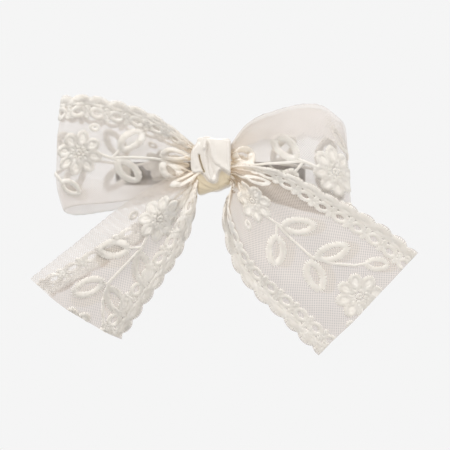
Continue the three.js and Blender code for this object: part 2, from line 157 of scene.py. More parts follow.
def rail(*points):
    """A smooth line through (x, z) points given in millimetres, as a function of the share along it."""
    p = np.array(points, float) / 1000 + (0, bow_lift)
    p = np.vstack([2 * p[0] - p[1], p, 2 * p[-1] - p[-2]])
    t = np.linspace(0, 1, 24, endpoint=False)[:, None]
    pieces = [
        0.5 * (2 * b + (c - a) * t + (2 * a - 5 * b + 4 * c - d) * t**2 + (3 * b - a - 3 * c + d) * t**3)
        for a, b, c, d in zip(p[:-3], p[1:-2], p[2:-1], p[3:])
    ]
    line = np.vstack([*pieces, p[-2:-1]])
    share = run_along(line) / run_along(line)[-1]
    return lambda at: np.stack([np.interp(at, share, line[:, i]) for i in (0, 1)], -1)


def ease(x, start=0.0, end=1.0):
    """0 before start, 1 after end and smooth in between."""
    t = np.clip((x - start) / (end - start), 0, 1)
    return t * t * (3 - 2 * t)


def creased(u, low_flap, high_flap):
    """Where a thread at u across the flat ribbon comes to lie when flaps are folded over at its sides:
    its share from the low edge to the high edge, and how far past a low or a high crease it is."""
    low, high = low_flap - ribbon_half, ribbon_half - high_flap
    past_low, past_high = np.maximum(low - u, 0), np.maximum(u - high, 0)
    share = (u - low + 2 * past_low - 2 * past_high) / (high - low)
    return share, past_low, past_high


def doubled(u, low_flap, high_flap):
    """1 where the ribbon lies double under or in a flap, and 0 where it is a single layer."""
    return np.maximum(
        1 - ease(u + ribbon_half - 2 * low_flap, -0.0032, -0.0018),
        ease(u - ribbon_half + 2 * high_flap, 0.0018, 0.0032),
    )


def gathers(u, out, count, height, reach, folds=()):
    """How far the cloth stands out in the pleats that spread from the knot. Each of the folds is a
    longer one: its place across the ribbon, its width, its height and its reach."""
    turn = np.abs(np.sin(count * math.pi * (u / ribbon_half + 1) / 2 + 0.9 * np.sin(90 * u)))
    rise = height * (turn**0.7 - 0.6) * np.exp(-((out / reach) ** 1.5))
    for place, width, tall, far in folds:
        rise = rise + tall * np.exp(-(((u - place) / (width * (0.35 + out))) ** 2) - (out / far) ** 2)
    return rise


def drift(u, w, height, seed):
    """The slight unevenness of cloth that has been handled."""
    a, b, c = np.random.default_rng(seed).uniform(0, 6.28, 3)
    return height * (
        np.sin(230 * u + 90 * w + a) * np.sin(140 * w - 60 * u + b) + 0.5 * np.sin(420 * w + 200 * u + c)
    )


def laid_out(base, share, along, rise):
    """Points at a share across and along a base surface, raised from it by rise."""
    step = 1e-3
    point = base(share, along)
    across = base(share + step, along) - base(share - step, along)
    onwards = base(share, along + step) - base(share, along - step)
    return point + unit(np.cross(across, onwards)) * rise[..., None]


loop_low, loop_high = (Vector(corner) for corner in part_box("left_loop"))
loop_middle = (loop_low.y + loop_high.y) / 2 - 0.0009
loop_lean = 0.0015
loop_half = (loop_high.y - loop_low.y) / 2 - 0.0006
loop_root = 0.0022


fullest = 0.385


def loop_depth(out, share):
    """Half the depth of a loop's hollow. fullest is the most that out * sqrt(1 - out) comes to."""
    fullness = out * np.sqrt(np.maximum(1 - out, 0)) / fullest
    return loop_root * (1 - out) ** 2 + loop_half * fullness * (0.78 + 0.22 * (1 - (2 * share - 1) ** 2))


def loop_base(side, bulge, front, back):
    """The smooth surface of a loop. front and back are each the low and high rails of a layer."""

    def base(share, along):
        turn = 2 * math.pi * along
        out = (1 - np.cos(turn)) / 2
        rear = ease(along, 0.36, 0.64)[..., None]
        low = front[0](out) * (1 - rear) + back[0](out) * rear
        high = front[1](out) * (1 - rear) + back[1](out) * rear
        flat = low + (high - low) * share[..., None]
        round_off = np.sqrt(np.clip(4 * share * (1 - share), 0, 1))
        x = flat[..., 0] + side * bulge * round_off * out**3
        facing = np.where(along < 0.5, -1, 1)
        y = loop_middle + loop_lean * out + facing * loop_depth(out, np.clip(share, 0, 1))
        return np.stack([x, y, flat[..., 1]], -1)

    return base


def even_steps(base, samples=300):
    """The length of a base surface's middle line, and the share along it at even steps of length."""
    along = np.linspace(0, 1, samples)
    run = run_along(base(np.full(samples, 0.5), along))
    return run[-1], lambda w: np.interp(w, run, along)


def border(w):
    """Half the ribbon's width at w along it, to the tips and notches of its scallops."""
    return ribbon_half - scallop_depth * (1 - np.abs(np.sin(math.pi * w / scallop_pitch))) ** 1.3


def sheet_mesh(name, place, u, w):
    """A mesh of the points place(u, w) of a grid, with the flat ribbon's u and w as its UV map."""
    points = place(u, w)
    rows, columns = u.shape
    number = np.arange(rows * columns).reshape(rows, columns)
    a, b, c, d = number[:-1, :-1], number[:-1, 1:], number[1:, 1:], number[1:, :-1]
    faces = np.stack([a, b, c, d], -1).reshape(-1, 4)
    mesh = bpy.data.meshes.new(name)
    mesh.from_pydata(points.reshape(-1, 3).tolist(), [], faces.tolist())
    flat = np.stack([u.ravel(), w.ravel()], -1)[faces.ravel()]
    mesh.uv_layers.new(name="flat").data.foreach_set("uv", flat.ravel().astype(np.float32))
    normal = unit(np.cross(np.gradient(points, axis=1), np.gradient(points, axis=0)))
    face_out = mesh.attributes.new("face_out", "FLOAT_VECTOR", "POINT")
    face_out.data.foreach_set("vector", normal.astype(np.float32).ravel())
    mesh.shade_smooth()
    return mesh


def mark(mesh, name, values):
    """Gives every point of a mesh a value that its material can read."""
    flat_values = np.asarray(values, np.float32).ravel()
    mesh.attributes.new(name, "FLOAT", "POINT").data.foreach_set("value", flat_values)


def placed(name, mesh):
    """An object of that mesh, in the scene."""
    thing = bpy.data.objects.new(name, mesh)
    scene.collection.objects.link(thing)
    return thing


def modifier(thing, name, kind, **settings):
    """A modifier with those settings, added to the object."""
    added = thing.modifiers.new(name, kind)
    for key, value in settings.items():
        setattr(added, key, value)
    return added


def final_mesh(thing):
    """An object's mesh after its modifiers, as a new mesh."""
    bpy.context.view_layer.update()
    return bpy.data.meshes.new_from_object(thing.evaluated_get(bpy.context.evaluated_depsgraph_get()))


def sums(tree, operation, *values):
    """The result of a Math node."""
    return wire(tree, "ShaderNodeMath", *values, operation=operation).outputs[0]


def mapped(tree, value, low, high, first, last):
    """Goes from first to last while value goes from low to high, and no further."""
    return wire(tree, "ShaderNodeMapRange", value, low, high, first, last).outputs[0]


def group(name, inputs, outputs):
    """An empty shader node group, with its input and output nodes."""
    tree = bpy.data.node_groups.new(name, "ShaderNodeTree")
    for label, value in inputs.items():
        socket = tree.interface.new_socket(label, in_out="INPUT", socket_type="NodeSocketFloat")
        socket.default_value = value
    for label, kind in outputs.items():
        tree.interface.new_socket(label, in_out="OUTPUT", socket_type=kind)
    return tree, tree.nodes.new("NodeGroupInput"), tree.nodes.new("NodeGroupOutput")


def net_group():
    """Fine tulle net: two sets of threads that cross, from flat ribbon coordinates."""
    tree, given, put = group("tulle_net", {"Pitch": 0.0006, "Open": 0.5}, {"Thread": "NodeSocketFloat"})
    flat = wire(tree, "ShaderNodeUVMap", uv_map="flat")
    parts = wire(tree, "ShaderNodeSeparateXYZ", flat.outputs["UV"])
    threads = []
    for sign in ("ADD", "SUBTRACT"):
        slant = sums(tree, sign, parts.outputs["X"], parts.outputs["Y"])
        turns = sums(tree, "DIVIDE", slant, given.outputs["Pitch"])
        wave = sums(tree, "SINE", sums(tree, "MULTIPLY", turns, math.pi))
        threads.append(sums(tree, "ABSOLUTE", wave))
    line = mapped(tree, sums(tree, "MAXIMUM", *threads), given.outputs["Open"], 1.0, 0.0, 1.0)
    tree.links.new(line, put.inputs["Thread"])
    return tree


tulle_net = net_group()
painted_glow_reach = 0.024


def painted_glow_group():
    """How strongly cloth is painted with a warm glow by the knot, in place of light soaking through the
    many close layers: 1 beside it, 0 well away.
    """
    tree, given, put = group("painted_knot_glow", {"Reach": painted_glow_reach}, {"Near": "NodeSocketFloat"})
    spot = wire(tree, "ShaderNodeTexCoord")
    heart = ((knot_low + knot_high) / 2)[:]
    away = wire(tree, "ShaderNodeVectorMath", spot.outputs["Object"], heart, operation="DISTANCE")
    near = mapped(tree, away.outputs["Value"], 0.008, given.outputs["Reach"], 1.0, 0.0)
    tree.links.new(near, put.inputs["Near"])
    return tree


painted_knot_glow = painted_glow_group()


def new_material(name, **constants):
    """A material with its node tree and its Principled BSDF. The constants are set on its sockets."""
    material = bpy.data.materials.new(name)
    material.use_nodes = True
    shader = material.node_tree.nodes["Principled BSDF"]
    for socket, value in constants.items():
        shader.inputs[socket.replace("_", " ")].default_value = value
    return material, material.node_tree, shader


def clouds(tree, scale, detail):
    """Soft unevenness over the piece, from 0 to 1."""
    spot = wire(tree, "ShaderNodeTexCoord")
    return wire(tree, "ShaderNodeTexNoise", spot.outputs["Object"], None, scale, detail).outputs["Fac"]


def between(tree, share, first, second):
    """The colour that lies a share of the way from first, a colour or a socket, to second."""
    node = wire(tree, "ShaderNodeMix", share, data_type="RGBA")
    if isinstance(first, bpy.types.NodeSocket):
        tree.links.new(first, node.inputs[6])
    else:
        node.inputs[6].default_value = (*first, 1)
    node.inputs[7].default_value = (*second, 1)
    return node.outputs[2]


def marked(tree, name):
    """The value of that name that mark() gave the mesh's points."""
    return wire(tree, "ShaderNodeAttribute", attribute_name=name).outputs["Fac"]


def glossy(tree, shader, share, low, high, smooth, rough):
    """Takes the shader's roughness from smooth to rough while share goes from low to high."""
    gloss = mapped(tree, share, low, high, smooth, rough)
    tree.links.new(gloss, shader.inputs["Roughness"])


def raised(tree, shader, height, strength, distance):
    """Bumps the shader's surface by height."""
    bump = wire(tree, "ShaderNodeBump")
    bump.inputs["Strength"].default_value = strength
    bump.inputs["Distance"].default_value = distance
    tree.links.new(height, bump.inputs["Height"])
    tree.links.new(bump.outputs["Normal"], shader.inputs["Normal"])


def paint_knot_glow(tree, cloth, warm, reach):
    """Paints a warm glow on a cloth beside the knot through its emission, though the cloth gives no light.
    """
    near = wire(tree, "ShaderNodeGroup", reach, node_tree=painted_knot_glow)
    glow = between(tree, near.outputs["Near"], (0, 0, 0), warm)
    tree.links.new(glow, cloth.inputs["Emission Color"])
    cloth.inputs["Emission Strength"].default_value = 1.0


net_pitch, net_open = 0.00105, 0.80


def tulle():
    """Sheer ivory tulle: the net's threads are denser than its meshes, and both let light through."""
    material, tree, cloth = new_material("ivory_tulle", Roughness=0.7, Sheen_Weight=0.15)
    net = wire(tree, "ShaderNodeGroup", net_pitch, net_open, node_tree=tulle_net)
    tone = between(tree, clouds(tree, 160.0, 2.0), (0.62, 0.555, 0.51), (0.54, 0.48, 0.445))
    layers = marked(tree, "double")
    # Painted light: the net is painted whiter where it lies double and darker where it is single.
    white = between(tree, layers, tone, (0.80, 0.75, 0.715))
    # Painted warm shade by the knot and along the crease, and the darker patches beside the leaves, turn
    # the net towards this brown.
    share = sums(tree, "MULTIPLY", marked(tree, "shade_and_leaf_patch"), 0.5)
    tree.links.new(between(tree, share, white, (0.52, 0.43, 0.33)), cloth.inputs["Base Color"])
    least = mapped(tree, layers, 0.0, 1.0, 0.42, 0.05)
    most = mapped(tree, layers, 0.0, 1.0, 0.96, 0.74)
    cover = mapped(tree, net.outputs["Thread"], 0.0, 1.0, least, most)
    thinner = mapped(tree, layers, 1.0, 2.0, 1.0, 0.45)
    tree.links.new(sums(tree, "MULTIPLY", cover, thinner), cloth.inputs["Alpha"])
    # Painted warm glow on the net beside the knot.
    paint_knot_glow(tree, cloth, (0.10, 0.072, 0.040), painted_glow_reach)
    raised(tree, cloth, net.outputs["Thread"], 0.3, 0.0001)
    return material


def twist_group():
    """The fine ply of embroidery thread, as a height, from the place on the piece."""
    tree, given, put = group("thread_twist", {"Scale": 1500.0}, {"Height": "NodeSocketFloat"})
    tree.links.new(clouds(tree, given.outputs["Scale"], 3.0), put.inputs["Height"])
    return tree


thread_twist = twist_group()


def stitching():
    """Cream rayon embroidery thread with a soft gloss."""
    material, tree, cloth = new_material("cream_stitching", Sheen_Weight=0.25)
    cloud = clouds(tree, 320.0, 2.0)
    tone = between(tree, cloud, (0.895, 0.85, 0.785), (0.98, 0.955, 0.915))
    tree.links.new(tone, cloth.inputs["Base Color"])
    # Painted warm glow on the stitching beside the knot.
    paint_knot_glow(tree, cloth, (0.15, 0.105, 0.055), painted_glow_reach)
    glossy(tree, cloth, cloud, 0.0, 1.0, 0.42, 0.62)
    ply = wire(tree, "ShaderNodeGroup", 1500.0, node_tree=thread_twist)
    raised(tree, cloth, ply.outputs["Height"], 0.5, 0.0002)
    return material


ivory_tulle = tulle()
cream_stitching = stitching()


def almond(centre, length, width, axis=(0, 1), points=26):
    """A closed leaf outline on the flat ribbon, pointed at both ends, with its length along axis."""
    angle = np.linspace(0, 2 * math.pi, points, endpoint=False)
    onward = length / 2 * np.cos(angle)
    aside = width / 2 * np.sin(angle) * np.abs(np.sin(angle)) ** 0.3
    lean = np.array(axis, float) / math.hypot(*axis)
    side = np.array((lean[1], -lean[0]))
    return np.array(centre) + onward[:, None] * lean + aside[:, None] * side


def filling(centre, length, width, axis):
    """A leaf filled with stitches across it: the line down its middle, and its width along that line."""
    t = np.linspace(-0.94, 0.94, 11)
    lean = np.array(axis, float) / math.hypot(*axis)
    return np.array(centre) + t[:, None] * lean * length / 2, width * np.sqrt(1 - t**2)


def border_paths(low, high, sides):
    """Each border: a puffy scalloped band with a cord in each scallop, and a chain of eyelets inside
    it with a bud of three petals between each two."""
    w = np.arange(low, high, scallop_pitch / 12)
    wave = np.abs(np.sin(math.pi * w / scallop_pitch))
    for side in sides:
        yield np.stack([side * (border(w) - 0.0021), w], -1), 0.0040, 0.0010, False
        yield np.stack([side * (ribbon_half - 0.0036 - 0.0010 * wave), w], -1), 0.0022, 0.0008, False
        for middle in np.arange(low, high, scallop_pitch) + scallop_pitch / 2:
            across = side * (ribbon_half - 0.0078)
            yield almond((across, middle), 0.0060, 0.0040, points=18), 0.0023, 0.0009, True
            for aside, size in ((-0.0019, 0.0014), (0, 0.0017), (0.0019, 0.0014)):
                bud = (across + aside, middle + scallop_pitch / 2)
                yield almond(bud, size, size, points=8), 0.0017, 0.0009, True


def flower_paths(centre):
    """A dense flower of eight looped petals round a ring of smaller ones, with an eyelet at its heart."""
    for petals, reach, length, width, band, turn in (
        (8, 0.0066, 0.0054, 0.0040, 0.0025, 0.2),
        (8, 0.0034, 0.0024, 0.0018, 0.0016, 0.6),
    ):
        for petal in range(petals):
            angle = turn + 2 * math.pi * petal / petals
            axis = np.array((math.sin(angle), math.cos(angle)))
            path, across = filling(centre + reach * axis, length, width, axis)
            yield path, across, 0.0005, False
            yield almond(centre + reach * axis, length, width, axis, 14), band, 0.0010, True
    yield almond(centre, 0.0018, 0.0020, points=10), 0.0013, 0.0011, True


leaf_length, leaf_width = 0.0128, 0.0062
vine_leaves = (
    (0.0080, 0.0212, 0.75, 0.66, 1),
    (-0.0080, 0.0218, -0.80, 0.59, 1),
    (0.0073, 0.0393, 0.90, 0.42, 1),
    (-0.0058, 0.0410, -0.51, 0.86, 1),
    (0.0150, 0.0565, 0.62, 0.78, 0.72),
)
vine_stem = (0, 8), (1.9, 14), (0.9, 24), (0, 34.5), (3, 42.6), (8.6, 50), (12.5, 53)
lower_fork, upper_fork = (1.9, 14), (0, 34.5)
vine_twigs = (
    (lower_fork, (3.2, 17)),
    (lower_fork, (-4.0, 18.5)),
    (upper_fork, (2.8, 37)),
    (upper_fork, (-2.4, 37)),
)


def vine_paths(first, low, high, way, hand, aside):
    """The vine down the ribbon: a flower at every repeat, then a stem with two pairs of leaves and a
    small leaf beside the next flower. It grows along the ribbon by way, its small leaves are on the
    side hand, and it wanders off the ribbon's middle by aside."""
    flip = np.array((hand, way))
    for number in range(-2, 4):
        flower = np.array((aside, first + number * vine_repeat))
        if not low - vine_repeat < flower[1] < high + vine_repeat:
            continue
        yield from flower_paths(flower)
        yield almond(flower + flip * (-0.0115, 0.006), 0.0034, 0.0026, points=12), 0.0018, 0.0009, True
        yield flower + flip * np.array(vine_stem) / 1000, 0.0016, 0.0008, False
        for twig in vine_twigs:
            yield flower + flip * np.array(twig) / 1000, 0.0013, 0.0007, False
        for across, onward, lean_u, lean_w, size in vine_leaves:
            centre, axis = flower + flip * (across, onward), flip * (lean_u, lean_w)
            outline = almond(centre, leaf_length * size, leaf_width * size, axis)
            yield outline, 0.0034 * size, 0.0009, True


def leaf_shades(u, w, first, way, hand, aside):
    """1 in a darker leaf-shaped patch of net just beside and beyond each leaf, and 0 elsewhere."""
    shade = 0 * u
    for number in range(-2, 4):
        for across, onward, lean_u, lean_w, size in vine_leaves:
            du = u - aside - hand * (across + 0.0024)
            dw = w - first - number * vine_repeat - way * (onward + 0.0030)
            lean = np.array((hand * lean_u, way * lean_w)) / math.hypot(lean_u, lean_w)
            long, wide = du * lean[0] + dw * lean[1], du * lean[1] - dw * lean[0]
            away = (long / 0.0078 / size) ** 2 + (wide / 0.0046 / size) ** 2
            shade = np.maximum(shade, 1 - ease(away, 0.8, 1.15))
    return shade


def stitch_mesh():
    """One satin stitch, a unit long, wide and high: a low pillow on both faces of the net."""
    ring = [(0.5, 0), (0, 1), (-0.5, 0), (0, -0.7)]
    points = [(-0.5, 0, 0)]
    for x, swell in ((-0.36, 0.75), (0, 1), (0.36, 0.75)):
        points += [(x, y * (0.8 + 0.2 * swell), z * swell) for y, z in ring]
    points.append((0.5, 0, 0))
    faces = [(0, 1 + (i + 1) % 4, 1 + i) for i in range(4)]
    for start in (1, 5):
        for i in range(4):
            after = (i + 1) % 4
            faces.append((start + i, start + after, start + 4 + after, start + 4 + i))
    faces += [(9 + i, 9 + (i + 1) % 4, 13) for i in range(4)]
    mesh = bpy.data.meshes.new("stitch")
    mesh.from_pydata(points, [], faces)
    mesh.shade_smooth()
    return mesh


most_slant, length_spread, stitch_overlap = 0.14, (0.9, 1.12), 1.25


def embroidery_tree():
    """Lays stitches side by side along flat paths, then wraps them on to the ribbon."""
    tree = bpy.data.node_groups.new("embroidery", "GeometryNodeTree")
    for label, kind in (
        ("Geometry", "Geometry"),
        ("Ribbon", "Object"),
        ("Stitch", "Object"),
        ("Pitch", "Float"),
        ("Seed", "Int"),
        ("Thread", "Material"),
    ):
        tree.interface.new_socket(label, in_out="INPUT", socket_type="NodeSocket" + kind)
    tree.interface.new_socket("Geometry", in_out="OUTPUT", socket_type="NodeSocketGeometry")
    given, put = tree.nodes.new("NodeGroupInput"), tree.nodes.new("NodeGroupOutput")
    link = tree.links.new

    def value_of(name, kind="FLOAT"):
        return wire(tree, "GeometryNodeInputNamedAttribute", name, data_type=kind).outputs["Attribute"]

    paths = wire(tree, "GeometryNodeMeshToCurve", given.outputs["Geometry"])
    spots = wire(tree, "GeometryNodeCurveToPoints", paths.outputs[0], mode="LENGTH")
    link(given.outputs["Pitch"], spots.inputs["Length"])
    ribbon = wire(tree, "GeometryNodeObjectInfo", given.outputs["Ribbon"])
    flat = value_of("flat", "FLOAT_VECTOR")
    here = tree.nodes.new("GeometryNodeInputPosition").outputs[0]

    def on_ribbon(value):
        """What value is where the ribbon's flat map has this place."""
        node = wire(tree, "GeometryNodeSampleUVSurface", data_type="FLOAT_VECTOR")
        link(ribbon.outputs["Geometry"], node.inputs["Mesh"])
        link(value, node.inputs["Value"])
        link(flat, node.inputs["Source UV Map"])
        link(here, node.inputs["Sample UV"])
        return node

    place = on_ribbon(here)
    outward = on_ribbon(value_of("face_out", "FLOAT_VECTOR"))

    turned = wire(tree, "FunctionNodeAlignRotationToVector", axis="Y", pivot_axis="Z")
    link(spots.outputs["Tangent"], turned.inputs["Vector"])
    slant = wire(tree, "FunctionNodeRandomValue", None, None, -most_slant, most_slant)
    uneven = wire(tree, "FunctionNodeRandomValue", None, None, *length_spread)
    for random in (slant, uneven):
        link(given.outputs["Seed"], random.inputs["Seed"])
    tilt = wire(tree, "ShaderNodeCombineXYZ", None, None, slant.outputs[1])
    spun = wire(
        tree, "FunctionNodeRotateRotation", turned.outputs[0], tilt.outputs[0], rotation_space="LOCAL"
    )
    long = sums(tree, "MULTIPLY", value_of("band"), uneven.outputs[1])
    wide = sums(tree, "MULTIPLY", given.outputs["Pitch"], stitch_overlap)
    size = wire(tree, "ShaderNodeCombineXYZ", long, wide, value_of("rise"))

    stitch = wire(tree, "GeometryNodeObjectInfo", given.outputs["Stitch"])
    rows = wire(tree, "GeometryNodeInstanceOnPoints", spots.outputs["Points"], place.outputs["Is Valid"])
    link(stitch.outputs["Geometry"], rows.inputs["Instance"])
    link(spun.outputs[0], rows.inputs["Rotation"])
    link(size.outputs[0], rows.inputs["Scale"])
    real = wire(tree, "GeometryNodeRealizeInstances", rows.outputs[0])

    beyond = wire(tree, "FunctionNodeBooleanMath", place.outputs["Is Valid"], operation="NOT")
    cut = wire(tree, "GeometryNodeDeleteGeometry", real.outputs[0], beyond.outputs[0], domain="POINT")
    height = wire(tree, "ShaderNodeSeparateXYZ", here)
    lift = wire(tree, "ShaderNodeVectorMath", outward.outputs["Value"], operation="SCALE")
    link(height.outputs["Z"], lift.inputs["Scale"])
    final = wire(tree, "ShaderNodeVectorMath", place.outputs["Value"], lift.outputs[0], operation="ADD")
    wrapped = wire(tree, "GeometryNodeSetPosition", cut.outputs[0], None, final.outputs[0])
    sewn = wire(tree, "GeometryNodeSetMaterial", wrapped.outputs[0], None, given.outputs["Thread"])
    link(sewn.outputs[0], put.inputs[0])
    return tree


embroidery = embroidery_tree()
stitch = bpy.data.objects.new("stitch", stitch_mesh())
stitch_pitch = 0.00045
carrier_step, side_over, end_over = 0.0008, 0.0012, 0.0004


def embroider(name, place, length, vine, seed, sides=(-1, 1)):
    """The whole embroidery of one stretch of ribbon, as a plain mesh wrapped on it. vine is the place
    of its first flower, the way it grows, the side of its small leaf and how far it wanders. The
    carrier that it is wrapped on reaches a little past the ribbon, so that no edge stitch is lost."""
    u, w = np.meshgrid(
        np.linspace(-ribbon_half - side_over, ribbon_half + side_over, 90),
        np.linspace(-end_over, length + end_over, int(length / carrier_step)),
    )
    carrier = placed(name + "_carrier", sheet_mesh(name + "_carrier", place, u, w))
    paths = [*border_paths(0, length, sides), *vine_paths(vine[0], 0, length, *vine[1:])]
    points, edges, band, rise = [], [], [], []
    for path, width, height, closed in paths:
        start, count = len(points), len(path)
        points += [(x, y, 0) for x, y in path]
        edges += [(start + i, start + i + 1) for i in range(count - 1)]
        if closed:
            edges.append((start + count - 1, start))
        band += np.broadcast_to(width, count).tolist()
        rise += [height] * count
    mesh = bpy.data.meshes.new(name)
    mesh.from_pydata(points, edges, [])
    mark(mesh, "band", band)
    mark(mesh, "rise", rise)
    scene.collection.objects.link(stitch)
    piece = placed(name, mesh)
    sewing = modifier(piece, "sewing", "NODES", node_group=embroidery)
    values = {
        "Ribbon": carrier,
        "Stitch": stitch,
        "Pitch": stitch_pitch,
        "Seed": seed,
        "Thread": cream_stitching,
    }
    for item in embroidery.interface.items_tree:
        if item.in_out == "INPUT" and item.name in values:
            sewing[item.identifier] = values[item.name]
    sewn = final_mesh(piece)
    piece.modifiers.remove(sewing)
    piece.data = sewn
    bpy.data.objects.remove(carrier)
    scene.collection.objects.unlink(stitch)
    return piece


knot_shade_reach = {1: 0.032, 2: 0.021}


def painted_knot_shade(w, length, ends):
    """Painted shade on the net deep in the gathered folds by the knot: 1 there, fading along the
    ribbon. ends is 2 for a loop, which goes back to the knot, and 1 for a tail."""
    near = np.minimum(w, length - w) if ends == 2 else w
    return np.exp(-((near / knot_shade_reach[ends]) ** 2))


plate_high = Vector(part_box("clip_plate")[1])
plate_blur = 0.0004


def loop_layers(length, place):
    """A loop is two layers, 1. Over the clip both are pulled thinner, the back one most, up to 2."""

    def layers(u, w):
        x, z = place(u, w)[..., 0], place(u, w)[..., 2]
        on_clip = 1 - ease(np.abs(z), plate_high.z - plate_blur, plate_high.z + plate_blur)
        on_clip = on_clip * (1 - ease(np.abs(x), plate_high.x - plate_blur, plate_high.x + plate_blur))
        return 1 + on_clip * (0.45 + 0.55 * ease(w / length, 0.42, 0.50))

    return layers


net_step, net_columns = 0.0007, 80
crease_shade_depth, crease_width, no_crease = 1.4, 0.0005, 1.0


def tulle_sheet(name, place, length, vine, ends, layers, crease=no_crease):
    """The tulle of one stretch of ribbon, cut along the tips of its scallops. layers(u, w) tells
    where it lies double, where the net's colour is painted whiter, because two layers of net look
    whiter than one. At the crease at that u, a thin line of painted shade is laid along the fold."""
    rows = np.linspace(0, length, int(length / net_step))
    share, w = np.meshgrid(np.linspace(-1, 1, net_columns), rows)
    u = share * border(w)
    mesh = sheet_mesh(name, place, u, w)
    mark(mesh, "double", layers(u, w))
    # Painted shade deep in the folds by the knot and along the crease, with the darker patches beside the
    # leaves.
    shade_and_patches = np.maximum(leaf_shades(u, w, *vine), painted_knot_shade(w, length, ends))
    shade_and_patches = np.maximum(shade_and_patches, crease_shade_depth * np.exp(-(((u - crease) / crease_width) ** 2)))
    mark(mesh, "shade_and_leaf_patch", shade_and_patches)
    mesh.materials.append(ivory_tulle)
    return placed(name, mesh)


def loop_pleats(folds, seed):
    """A loop's pleats, with longer folds on its front layer."""

    def pleats(u, w, along, out):
        front = 1 - ease(along, 0.45, 0.55)
        return (
            gathers(u, out, 9, 0.0014, 0.30)
            + front * gathers(u, out, 9, 0, 0.3, folds)
            + drift(u, w, 0.0005, seed) * ease(out, 0.05, 0.5)
        )

    return pleats


def loop_place(base, flap_low, flap_high, pleats):
    """Where the threads of a loop's flat ribbon go. Its flaps are tucked inside the loop."""
    length, along_at = even_steps(base)

    def place(u, w):
        along = along_at(w)
        out = (1 - np.cos(2 * math.pi * along)) / 2
        share, past_low, past_high = creased(u, flap_low, flap_high)
        inside = 0.0009 * (ease(past_low, 0, 0.0015) + ease(past_high, 0, 0.0015))
        return laid_out(base, share, along, pleats(u, w, along, out) - inside)

    return length, place


left_base = loop_base(
    -1,
    0.0038,
    (
        rail((-2.4, -5), (-6.5, -6.5), (-20, -10.5), (-37.4, -13.5), (-50, -14.6), (-61.6, -15.6)),
        rail(
            (-2.4, 8.4), (-6, 10.4), (-12.2, 16), (-18.5, 21), (-24.8, 24.6), (-33.2, 27.9),
            (-41.6, 30), (-50, 32), (-60.1, 31.9),
        ),
    ),
    (
        rail((-2.4, -5), (-6.5, -6.5), (-20, -11.9), (-37.4, -16.4), (-50, -18.6), (-60.6, -20)),
        rail((-2.4, 8.4), (-6, 10), (-14, 15), (-26, 22), (-41.6, 28.4), (-52, 30.6), (-60.3, 31.4)),
    ),
)


left_folds = (
    (-0.012, 0.006, -0.0026, 0.42),
    (-0.004, 0.005, 0.0016, 0.50),
    (0.004, 0.005, -0.0014, 0.45),
    (0.011, 0.006, 0.0014, 0.70),
    (0.020, 0.005, -0.0016, 0.60),
)
left_tuck = 0.0115
left_length, left_place = loop_place(left_base, left_tuck, 0, loop_pleats(left_folds, 3))
left_vine = 0.0530, -1, -1, 0.0045
left_loop = tulle_sheet(
    "left_loop_tulle",
    left_place,
    left_length,
    left_vine,
    2,
    loop_layers(left_length, left_place),
    crease=left_tuck - ribbon_half,
)
left_lace = embroider("left_loop_embroidery", left_place, left_length, left_vine, 11, sides=(1,))
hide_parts("left_loop")
for part in (left_loop, left_lace):
    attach(part, "bow")

# ---- Right loop ---------------------------------------------------------------------------------
# The right loop is the same ribbon, with its upper side folded down inside, so that its top is a
# smooth whiter edge of several layers and its lower side hides behind the right tail.
right_base = loop_base(
    1,
    0.0032,
    (
        rail((6.6, -5), (10.5, -6.5), (20, -11), (38, -16.5), (49, -19), (58.0, -20)),
        rail(
            (6.6, 8.4), (9.2, 11.3), (13, 16.5), (16.8, 20.4), (22.3, 23.5), (28.6, 25.4), (36, 27.5),
            (43.3, 28.1), (49.4, 26.2), (54.6, 20.4),
        ),
    ),
    (
        rail((6.6, -5), (10.5, -6.5), (20, -11), (38, -16.5), (49, -19), (57, -20.4)),
        rail((6.6, 8.4), (9.2, 10.6), (16.8, 19.2), (28.6, 24.4), (40, 26.9), (49, 25.6), (54.4, 20.4)),
    ),
)


right_folds = (
    (-0.017, 0.006, 0.0014, 0.50),
    (-0.009, 0.005, -0.0018, 0.50),
    (-0.001, 0.006, 0.0016, 0.60),
    (0.006, 0.005, -0.0020, 0.55),
    (0.012, 0.005, 0.0012, 0.60),
)
right_length, right_place = loop_place(right_base, 0.004, 0.0135, loop_pleats(right_folds, 5))
right_vine = 0.0475, -1, 1, -0.0085
right_loop = tulle_sheet(
    "right_loop_tulle",
    right_place,
    right_length,
    right_vine,
    2,
    loop_layers(right_length, right_place),
)
right_lace = embroider("right_loop_embroidery", right_place, right_length, right_vine, 12, sides=(-1,))
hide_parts("right_loop")
for part in (right_loop, right_lace):
    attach(part, "bow")

# ---- Left tail ----------------------------------------------------------------------------------
# The left tail leaves the knot in front of the loop and hangs to the lower left. It is folded
# lengthwise, so that its left side is a smooth crease and the far border shows through its middle.
tail_root = -0.0192
loop_reach = 0.0525


def tail_base(side, low, high, end_bulge, fall_back):
    """The smooth surface of a tail: out over the loop, and back towards the wearer at its end."""
    start = knot_mouth[side]

    def base(share, along):
        first, last = low(along), high(along)
        flat = first + (last - first) * share[..., None]
        past = np.clip(side * (flat[..., 0] - start) / loop_reach, 0, 2 / 3)
        over = loop_depth(past, 0.4) - loop_root
        inner = np.clip(share, 0, 1)
        crown = 0.0010 * np.sin(math.pi * inner) * along
        y = tail_root - over - crown + fall_back * along**2
        bow_out = end_bulge * 4 * inner * (1 - inner) * along**6
        x = flat[..., 0] + side * bow_out * 0.7
        z = flat[..., 1] - bow_out * 0.7
        return np.stack([x, y, z], -1)

    return base


def tail_pleats(folds, seed):
    """A tail's pleats and its longer folds."""

    def pleats(u, w, along):
        shake = drift(u, w, 0.0006, seed) * ease(along, 0.05, 0.4)
        return gathers(u, along, 8, 0.0012, 0.24, folds) + shake

    return pleats


